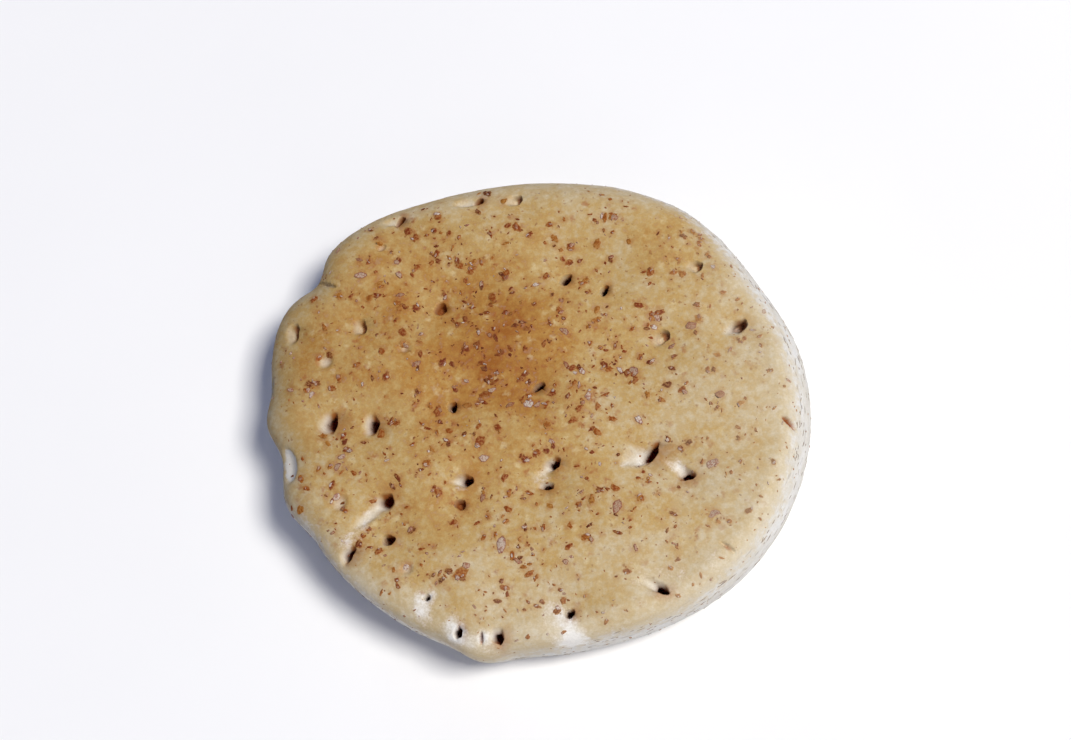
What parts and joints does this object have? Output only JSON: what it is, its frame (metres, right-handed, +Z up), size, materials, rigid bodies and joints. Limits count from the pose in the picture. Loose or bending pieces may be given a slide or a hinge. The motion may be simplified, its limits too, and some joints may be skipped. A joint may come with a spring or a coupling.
{
  "type": "hallulla bread roll",
  "caption": "Flat, slightly oval wholegrain bread roll with a lightly browned crust, pin holes over its top, bran flakes and a pale floury side.",
  "frame": {"origin": "bottom centre of the bounding box, on the plane the roll lies on", "axes": "+Z up out of the browned top, +X along the roll's longest way across, +Y across it"},
  "size_m": [0.1118, 0.104, 0.0216],
  "materials": {
    "crust": "matte baked crust, browned in the middle of the top, paler at the rim and round the pin holes, with floury sides"
  },
  "bodies": {
    "root": {"hallulla": "crust"}
  },
  "joints": []
}
